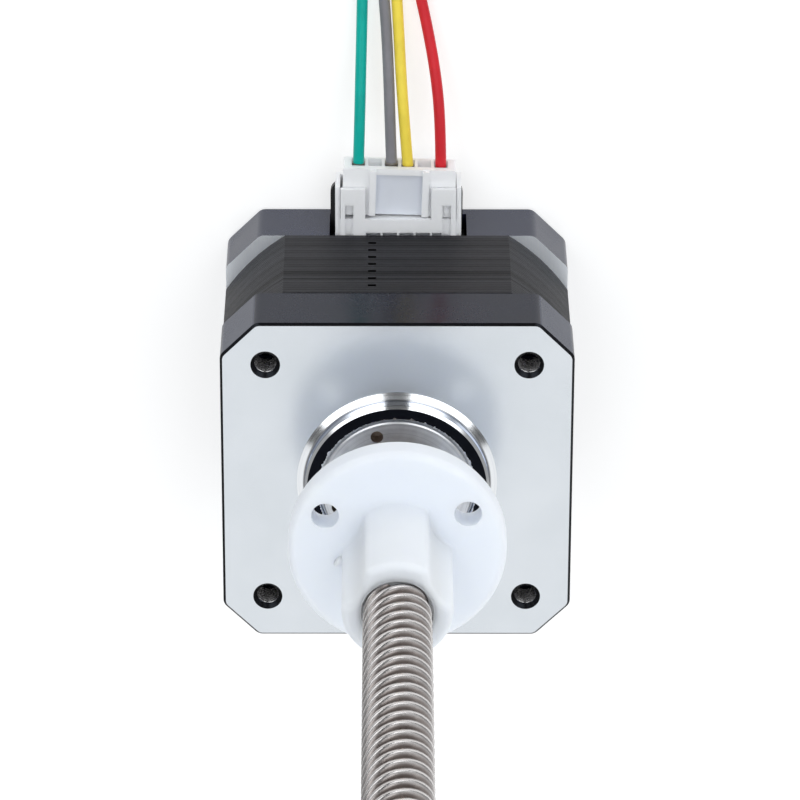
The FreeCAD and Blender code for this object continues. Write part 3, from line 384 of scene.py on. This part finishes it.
def moulded(name, colour, rough, sub=0.0, radius=1.0, grain=3800.0, depth=3e-6, spread=0.06):
    """Moulded plastic: slight tone drift, fine surface texture, soft inside."""
    m, t, b = material(name, Subsurface_Weight=sub, Subsurface_Scale=0.001, Specular_IOR_Level=0.45)
    b.inputs["Subsurface Radius"].default_value = (radius, radius, radius * 1.08)
    c = t.coord()
    g = t.noise(c, grain, 3.0, 0.6)
    cloud = t.noise(c, 210.0, 3.0, 0.5)
    t.put(b.inputs["Base Color"], t.mix(t.span(cloud, 0.3, 0.7, 0, 1), tuple(v * (1 - spread) for v in colour), colour))
    t.put(b.inputs["Roughness"], t.math("ADD", t.span(g, 0.3, 0.7, rough - 0.04, rough + 0.04), t.span(cloud, 0.3, 0.7, -0.04, 0.04)))
    t.put(b.inputs["Normal"], t.bump(g, depth, 0.5))
    return m


def connector_finish():
    """Natural nylon; the plug's recessed middle panel is painted greyer as painted shade."""
    m, t, b = material("connector_nylon", Subsurface_Weight=0.4, Subsurface_Scale=0.001, Specular_IOR_Level=0.45)
    b.inputs["Subsurface Radius"].default_value = (0.9, 0.9, 0.95)
    c = t.coord()
    z = t.xyz(c)[2]
    g = t.noise(c, 3800.0, 3.0, 0.6)
    cloud = t.noise(c, 210.0, 3.0, 0.5)
    # Painted shade: the recessed middle panel of the plug gets a greyer, bluer colour.
    recessed_panel_painted_shade = t.math("MULTIPLY", t.step(t.xyz(t.normal())[2], 0.9, 0.97), band(t, z, -26.05e-3, -25.95e-3, 1e-5))
    col = t.mix(t.span(cloud, 0.3, 0.7, 0, 1), (0.915, 0.92, 0.935), (0.94, 0.945, 0.965))
    t.put(b.inputs["Base Color"], t.mix(recessed_panel_painted_shade, col, (0.76, 0.79, 0.86)))
    t.put(b.inputs["Roughness"], t.math("ADD", t.span(g, 0.3, 0.7, 0.38, 0.46), t.span(cloud, 0.3, 0.7, -0.04, 0.04)))
    t.put(b.inputs["Normal"], t.bump(g, 3e-6, 0.5))
    return m


SCREW = dict(crest=3.95, root=3.05, lead=8.0, starts=4, turn=24.75, z0=4.0, tip=100.0, neck=2.9)


def screw_finish():
    """Rolled steel: a burnished band beside each crest and brown skin on the flanks and roots, partly wear and partly
    painted highlight and painted shade.
    """
    m, t, b = material("screw_steel_finish", Metallic=1.0)
    c = t.coord()
    x, y, z = t.xyz(c)
    cloud = t.noise(c, 360.0, 3.0, 0.55)
    drag = t.noise(t.stretch(c, 1.0, 1.0, 0.3), 1500.0, 2.0, 0.5)
    # distance along the axis from the middle of the nearest crest, in pitches
    turn = t.math("MULTIPLY", t.math("ARCTAN2", y, x), 1.0 / (2 * math.pi))
    turn = t.math("SUBTRACT", turn, t.math("MULTIPLY_ADD", z, 1.0 / (SCREW["lead"] * MM), SCREW["turn"] / 360.0))
    ahead = t.math("SUBTRACT", 0.5, t.math("FRACT", t.math("MULTIPLY", turn, SCREW["starts"])))
    ahead = t.math("ADD", ahead, t.math("MULTIPLY_ADD", cloud, 0.06, -0.03))
    # Partly painted light: the bright steel band is set where a highlight falls, and the dark brown skin elsewhere
    # stands in for dark reflections as well as rolling oil.
    burnish_and_painted_highlight = t.math("MULTIPLY", t.step(ahead, -0.06, 0.05), t.math("SUBTRACT", 1.0, t.step(ahead, 0.12, 0.26)))
    steel = t.mix(t.span(cloud, 0.3, 0.7, 0, 1), (0.58, 0.555, 0.545), (0.66, 0.635, 0.625))
    skin = t.mix(t.span(cloud, 0.35, 0.65, 0, 1), (0.205, 0.175, 0.163), (0.28, 0.245, 0.23))
    t.put(b.inputs["Base Color"], t.mix(burnish_and_painted_highlight, skin, steel))
    t.put(b.inputs["Roughness"], t.math("ADD", t.lerp(burnish_and_painted_highlight, 0.29, 0.2), t.span(drag, 0.3, 0.7, -0.02, 0.03)))
    t.put(b.inputs["Normal"], t.bump(drag, 1e-6, 0.1))
    return m


def ring_finish():
    """Turned steel face with concentric marks; brown and dull below the face."""
    m, t, b = material("lock_ring_finish", Metallic=1.0)
    c = t.coord()
    x, y, z = t.xyz(c)
    r = radius_of(t, x, y)
    marks = t.noise(t.vec(r, t.math("MULTIPLY", z, 0.7), 0.0), 9000.0, 2.0, 0.6)
    cloud = t.noise(c, 420.0, 4.0, 0.6)
    hole = band(t, r, 6.6e-3, 8.2e-3, 4e-5)
    top = t.math("MAXIMUM", t.step(z, 1.9e-3, 1.96e-3), t.math("SUBTRACT", 1.0, hole))
    steel = t.mix(t.span(t.math("ADD", t.math("MULTIPLY", marks, 0.5), t.math("MULTIPLY", cloud, 0.5)), 0.35, 0.65, 0, 1), (0.63, 0.635, 0.65), (0.87, 0.875, 0.89))
    pit = t.mix(t.span(cloud, 0.3, 0.7, 0, 1), (0.16, 0.115, 0.095), (0.42, 0.35, 0.31))
    t.put(b.inputs["Base Color"], t.mix(top, pit, steel))
    t.put(b.inputs["Roughness"], t.math("ADD", t.lerp(top, 0.55, 0.34), t.span(marks, 0.3, 0.7, -0.05, 0.05)))
    t.put(b.inputs["Normal"], t.bump(marks, 3.5e-6, 0.6))
    return m


def rim_coat():
    """Dead black coat left on the boss rim, slightly pitted."""
    m, t, b = material("boss_rim_finish", Specular_IOR_Level=0.08, Specular_Tint=(0.8, 0.88, 1.0, 1.0))
    c = t.coord()
    fine = t.noise(c, 5200.0, 4.0, 0.6)
    cloud = t.noise(c, 700.0, 3.0, 0.5)
    t.put(b.inputs["Base Color"], t.mix(t.span(cloud, 0.3, 0.7, 0, 1), (0.0022, 0.0026, 0.0048), (0.0042, 0.005, 0.0085)))
    t.put(b.inputs["Roughness"], t.span(fine, 0.3, 0.7, 0.5, 0.62))
    t.put(b.inputs["Normal"], t.bump(fine, 6e-6, 0.6))
    return m


def insulation(name, colour):
    """Extruded lead skin: semi-gloss with faint lengthwise drag and dust."""
    m, t, b = material(name, Specular_IOR_Level=0.2)
    c = t.coord()
    drag = t.noise(t.stretch(c, 1.0, 0.12, 1.0), 6500.0, 3.0, 0.6)
    cloud = t.noise(c, 330.0, 3.0, 0.5)
    t.put(b.inputs["Base Color"], t.mix(t.span(cloud, 0.3, 0.7, 0, 1), tuple(v * 0.88 for v in colour), colour))
    t.put(b.inputs["Roughness"], t.span(drag, 0.3, 0.7, 0.3, 0.42))
    t.put(b.inputs["Normal"], t.bump(drag, 5e-6, 0.5))
    return m


MAT = {
    "front_cap": cap_front(),
    "rear_cap": cap_rear(),
    "stack": laminated("stack_finish", (0.003, 0.003, 0.0042), (0.05, 0.0495, 0.058), 0.13),
    "rotor": laminated("rotor_finish", (0.12, 0.115, 0.11), (0.24, 0.235, 0.23), 0.5),
    "black_plastic": moulded("black_moulding", (0.012, 0.012, 0.013), 0.5, grain=5200.0, depth=8e-6, spread=0.3),
    "copper": wound("winding_copper", (0.62, 0.25, 0.09)),
    "bearing": turned_metal("bearing_finish", (0.66, 0.66, 0.67), 0.18),
    "brass": grainy_metal("cage_finish", (0.66, 0.48, 0.2), 0.32),
    "ring": ring_finish(),
    "rim": rim_coat(),
    "tapped": grainy_metal("tapped_hole_finish", (0.5, 0.49, 0.49), 0.26),
    "magnet": grainy_metal("magnet_finish", (0.12, 0.12, 0.125), 0.45, metallic=0.7),
    "fastener": grainy_metal("fastener_finish", (0.035, 0.035, 0.037), 0.38, metallic=0.8),
    "white": connector_finish(),
    "tin": grainy_metal("tinned_finish", (0.72, 0.7, 0.67), 0.3),
    "crimp": grainy_metal("crimp_finish", (0.36, 0.33, 0.3), 0.34, scale=3400.0),
    "screw": screw_finish(),
    "nut": moulded("nut_acetal", (0.843, 0.877, 0.938), 0.46, sub=0.6, radius=2.0, grain=3000.0, spread=0.02),
    "tie": moulded("tie_nylon_finish", (0.78, 0.76, 0.7), 0.4, sub=0.2, radius=0.4),
    "green": insulation("lead_green_finish", (0.0, 0.42, 0.35)),
    "grey": insulation("lead_grey_finish", (0.235, 0.228, 0.245)),
    "yellow": insulation("lead_yellow_finish", (0.95, 0.745, 0.085)),
    "red": insulation("lead_red_finish", (0.68, 0.023, 0.034)),
}
NODE_FINISH = {
    "front_end_cap": "front_cap", "rear_end_cap": "rear_cap", "stator_core": "stack",
    "front_insulator": "black_plastic", "rear_insulator": "black_plastic", "terminal_block": "black_plastic",
    "phase_a_coils": "copper", "phase_b_coils": "copper",
    "front_bearing_outer_ring": "bearing", "front_bearing_inner_ring": "bearing", "front_ball_set": "bearing",
    "rear_bearing_outer_ring": "bearing", "rear_bearing_inner_ring": "bearing", "rear_ball_set": "bearing",
    "bearing_shields": "bearing", "preload_washer": "bearing", "front_ball_cage": "brass", "rear_ball_cage": "brass",
    "front_spacer": "brass", "rear_spacer": "brass", "bearing_lock_ring": "ring",
    "rotor_cup_front": "rotor", "rotor_cup_rear": "rotor", "rotor_magnet": "magnet", "lead_screw": "screw",
    "assembly_screws": "fastener", "connector_header": "white", "plug_housing": "white",
    "header_pins": "tin", "crimp_terminals": "crimp", "tinned_ends": "tin", "lead_tie": "tie", "flange_nut": "nut", "nut_thread": "nut",
    "lead_green": "green", "lead_grey": "grey", "lead_yellow": "yellow", "lead_red": "red", "lead_coil": "grey",
}
for name, ob in nodes.items():
    ob.data.materials.clear()
    ob.data.materials.append(MAT[NODE_FINISH[name]])


# ----------------------------------------------------------------- lead screw
def thread_radius(phi):
    """Radius of the rolled four-start form at one angle of a cross-section."""
    pitch = SCREW["lead"] / SCREW["starts"]
    u = (phi / (2 * math.pi / SCREW["starts"])) % 1.0
    d = abs(u - 0.5) * pitch
    x = max(0.0, min(1.0, (d - 0.24) / 0.54))
    blend = x * x * (3 - 2 * x)
    flat = min(1.0, d / 0.3)
    return SCREW["crest"] - 0.09 * flat * flat * (1 - blend) - (SCREW["crest"] - SCREW["root"]) * blend


def build_screw():
    n = 160
    rings = []
    for r, z in [(2.1, -31.9), (2.5, -31.5), (2.5, -1.0), (3.7, -1.0), (3.7, 2.2), (2.9, 2.8), (2.9, 4.0)]:
        rings.append([(r * math.cos(2 * math.pi * i / n), r * math.sin(2 * math.pi * i / n), z) for i in range(n)])
    z, tip = SCREW["z0"] + 0.02, SCREW["tip"]
    heights = []
    while z < tip - 1.5:
        heights.append(z)
        z += 0.25
    heights += [tip - 1.3 + 0.13 * k for k in range(11)]
    heights[-1] = tip
    for z in heights:
        cap = min(SCREW["neck"] + (z - SCREW["z0"]) * (SCREW["crest"] + 0.3 - SCREW["neck"]) / 1.35,
                  2.95 + (tip - z) * (SCREW["crest"] + 0.3 - 2.95) / 1.3)
        ring = []
        for i in range(n):
            a = 2 * math.pi * i / n
            r = min(thread_radius(a), cap)
            ang = a + 2 * math.pi * z / SCREW["lead"] + math.radians(SCREW["turn"])
            ring.append((r * math.cos(ang), r * math.sin(ang), z))
        rings.append(ring)
    verts = [tuple(c * MM for c in p) for ring in rings for p in ring]
    faces = []
    for k in range(len(rings) - 1):
        for i in range(n):
            j = (i + 1) % n
            faces.append((k * n + i, k * n + j, (k + 1) * n + j, (k + 1) * n + i))
    faces.append(tuple(reversed(range(n))))
    last = (len(rings) - 1) * n
    faces.append(tuple(last + i for i in range(n)))
    me = bpy.data.meshes.new("lead_screw_rolled")
    me.from_pydata(verts, [], faces)
    me.update()
    me.polygons.foreach_set("use_smooth", [True] * len(me.polygons))
    me.set_sharp_from_angle(angle=math.radians(38))
    o = bpy.data.objects.new("lead_screw_rolled", me)
    scene.collection.objects.link(o)
    me.materials.append(MAT["screw"])
    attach(o, "rotor")
    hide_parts("lead_screw")


build_screw()


# ------------------------------------------------------------- small fittings
def add_mesh(name, verts, faces, finish, body, smooth=35.0):
    me = bpy.data.meshes.new(name)
    me.from_pydata([tuple(c * MM for c in v) for v in verts], [], faces)
    me.update()
    me.polygons.foreach_set("use_smooth", [True] * len(me.polygons))
    me.set_sharp_from_angle(angle=math.radians(smooth))
    o = bpy.data.objects.new(name, me)
    scene.collection.objects.link(o)
    me.materials.append(MAT[finish])
    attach(o, body)
    return o


def build_rim():
    """Coat left on the flat rim of the boss; its inner edge is chipped."""
    n = 900
    verts, faces = [], []
    for i in range(n):
        a = 2 * math.pi * i / n
        chip = 0.5 + 0.5 * math.sin(37 * a + 1.3 * math.sin(11 * a))
        chip = chip ** 6 * (0.5 + 0.5 * math.sin(5 * a + 0.7)) + 0.35 * (0.5 + 0.5 * math.sin(83 * a + math.sin(17 * a))) ** 8
        inner = 9.37 + 0.2 * chip + 0.02 * math.sin(150 * a + 2 * math.sin(7 * a))
        for r, z in ((inner, 1.995), (inner, 2.006), (10.655, 2.006), (10.665, 1.995)):
            verts.append((r * math.cos(a), r * math.sin(a), z))
    for i in range(n):
        j = (i + 1) % n
        for k in range(4):
            m = (k + 1) % 4
            faces.append((4 * i + k, 4 * i + m, 4 * j + m, 4 * j + k))
    add_mesh("boss_rim_coat", verts, faces, "rim", "stator")


build_rim()


def build_threads():
    """Thread ridges inside the four mounting holes, half a millimetre apart."""
    n, pitch, z0, z1 = 32, 0.5, -4.3, -0.62
    verts, faces = [], []
    form = ((1.315, -0.20), (1.13, -0.035), (1.13, 0.035), (1.315, 0.20))
    for cx, cy in ((15.5, 15.5), (-15.5, 15.5), (-15.5, -15.5), (15.5, -15.5)):
        first = len(verts)
        steps = int((z1 - z0) / pitch * n)
        for s in range(steps + 1):
            a = 2 * math.pi * s / n
            z = z0 + pitch * s / n
            fade = min(1.0, s / 12.0, (steps - s) / 12.0)
            for r, dz in form:
                rr = 1.315 - (1.315 - r) * fade
                verts.append((cx + rr * math.cos(a), cy + rr * math.sin(a), z + dz))
        for s in range(steps):
            p, q = first + 4 * s, first + 4 * (s + 1)
            for k in range(4):
                m = (k + 1) % 4
                faces.append((p + k, q + k, q + m, p + m))
        faces.append((first + 3, first + 2, first + 1, first))
        last = first + 4 * steps
        faces.append((last, last + 1, last + 2, last + 3))
    add_mesh("mounting_threads", verts, faces, "tapped", "stator", 50.0)


build_threads()


def build_gate():
    """Small moulding nub on the flange beside the hub, lying slantwise."""
    cx, cy, z0 = -6.7, -1.2, 17.25
    n, m = 24, 8
    ca, sa = math.cos(math.radians(48)), math.sin(math.radians(48))
    verts, faces = [], []
    for j in range(m):
        t = j / (m - 1)
        f = max(math.cos(t * math.pi / 2), 0.0) ** 0.6 if j < m - 1 else 0.03
        for i in range(n):
            a = 2 * math.pi * i / n
            u, v = 0.85 * f * math.cos(a), 0.42 * f * math.sin(a)
            verts.append((cx + u * ca - v * sa, cy + u * sa + v * ca, z0 - 0.1 + 0.75 * math.sin(t * math.pi / 2)))
    for j in range(m - 1):
        for i in range(n):
            k = (i + 1) % n
            faces.append((j * n + i, j * n + k, (j + 1) * n + k, (j + 1) * n + i))
    faces.append(tuple(reversed(range(n))))
    faces.append(tuple((m - 1) * n + i for i in range(n)))
    add_mesh("nut_gate_nub", verts, faces, "nut", "nut", 60.0)


build_gate()

# ----------------------------------------------------------------------- leads
# Four leads leave the plug level, droop to the floor and wind into one coil.
LEAD_D = 1.35
ROUTES = {
    "green": [(-4.677, 29.337, -27.4), (-4.53, 34.5, -27.55), (-4.41, 40.0, -29.1), (-4.26, 46.0, -31.3),
              (-4.16, 52.5, -32.25), (-4.18, 60.3, -32.05), (-4.2, 68.0, -31.97)],
    "grey": [(-0.674, 29.425, -27.4), (-0.85, 34.5, -27.55), (-1.02, 40.0, -29.1), (-1.34, 46.0, -31.3),
             (-1.9, 52.5, -32.25), (-2.55, 58.5, -32.05), (-2.75, 64.3, -31.97)],
    "yellow": [(1.314, 28.97, -27.4), (0.87, 34.5, -27.55), (0.46, 40.0, -29.1), (0.13, 46.0, -31.3),
               (-0.28, 52.5, -32.25), (-1.05, 57.3, -32.1), (-1.3, 61.9, -31.97)],
    "red": [(5.309, 28.708, -27.4), (5.23, 34.5, -27.55), (4.7, 40.0, -29.1), (3.54, 46.0, -31.3),
            (2.01, 52.5, -32.25), (0.75, 56.4, -32.1), (0.15, 60.1, -31.97)],
}
TUBE_LEN = {"green": 39.29, "grey": 35.57, "yellow": 33.67, "red": 32.55}
COIL_R = {"red": 14.35, "yellow": 15.8, "grey": 17.25, "green": 18.7}
COIL_C = (14.5, 72.5)


def build_lead(name):
    pts = list(ROUTES[name])
    R, last = COIL_R[name], pts[-1]
    turns = (300.0 - 5.0 - TUBE_LEN[name] - (COIL_C[1] - last[1])) / (2 * math.pi * R)
    steps = int(math.ceil(turns * 18))
    swell = 1.0 / (0.75 + 0.25 * math.cos(2 * math.pi * turns / steps))
    for k in range(steps + 1):
        a = math.pi - 2 * math.pi * turns * k / steps
        rr = R if k == steps else R * swell
        pts.append((COIL_C[0] + rr * math.cos(a), COIL_C[1] + rr * math.sin(a), -31.97 + 1.5 * turns * k / steps))
    cu = bpy.data.curves.new("lead_%s_run" % name, "CURVE")
    cu.dimensions = "3D"
    sp = cu.splines.new("NURBS")
    sp.points.add(len(pts) - 1)
    for p, q in zip(sp.points, pts):
        p.co = (q[0] * MM, q[1] * MM, q[2] * MM, 1.0)
    sp.order_u = 3
    sp.use_endpoint_u = True
    sp.resolution_u = 10
    cu.bevel_depth = LEAD_D / 2 * MM
    cu.bevel_resolution = 6
    cu.use_fill_caps = True
    o = bpy.data.objects.new("lead_%s_run" % name, cu)
    scene.collection.objects.link(o)
    cu.materials.append(MAT[name])
    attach(o, "plug")
    return o, [c * MM for c in pts[0]]


for name in ("green", "grey", "yellow", "red"):
    run, leaves = build_lead(name)
    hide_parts("lead_%s" % name)
    if name == "green":
        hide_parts("lead_coil")
